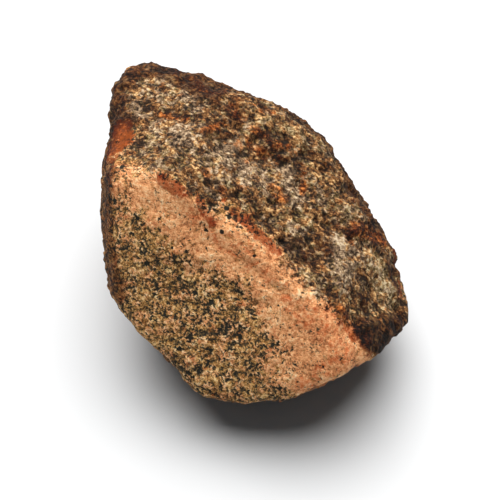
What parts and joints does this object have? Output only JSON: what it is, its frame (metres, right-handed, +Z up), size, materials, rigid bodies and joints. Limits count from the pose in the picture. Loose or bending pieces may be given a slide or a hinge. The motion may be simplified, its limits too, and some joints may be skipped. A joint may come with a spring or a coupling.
{
  "type": "rough rock",
  "caption": "Angular hand-sized stone of speckled pink granite with a lumpy dark gneiss crust over its top; sits on a flat broken base as a display specimen or prop.",
  "frame": {"origin": "point of the flat base under the stone's heart, on the surface that it stands on", "axes": "+Z up, out of the base; -Y is the fresh granite face's side; the pointed corner is towards -X and +Y"},
  "size_m": [0.0953, 0.1055, 0.0723],
  "materials": {
    "stone": "weathered, rough: dark olive-brown granular gneiss above a rust-stained seam, salmon-pink granite with black mica specks below it"
  },
  "bodies": {
    "root": {"stone": "stone"}
  },
  "joints": []
}
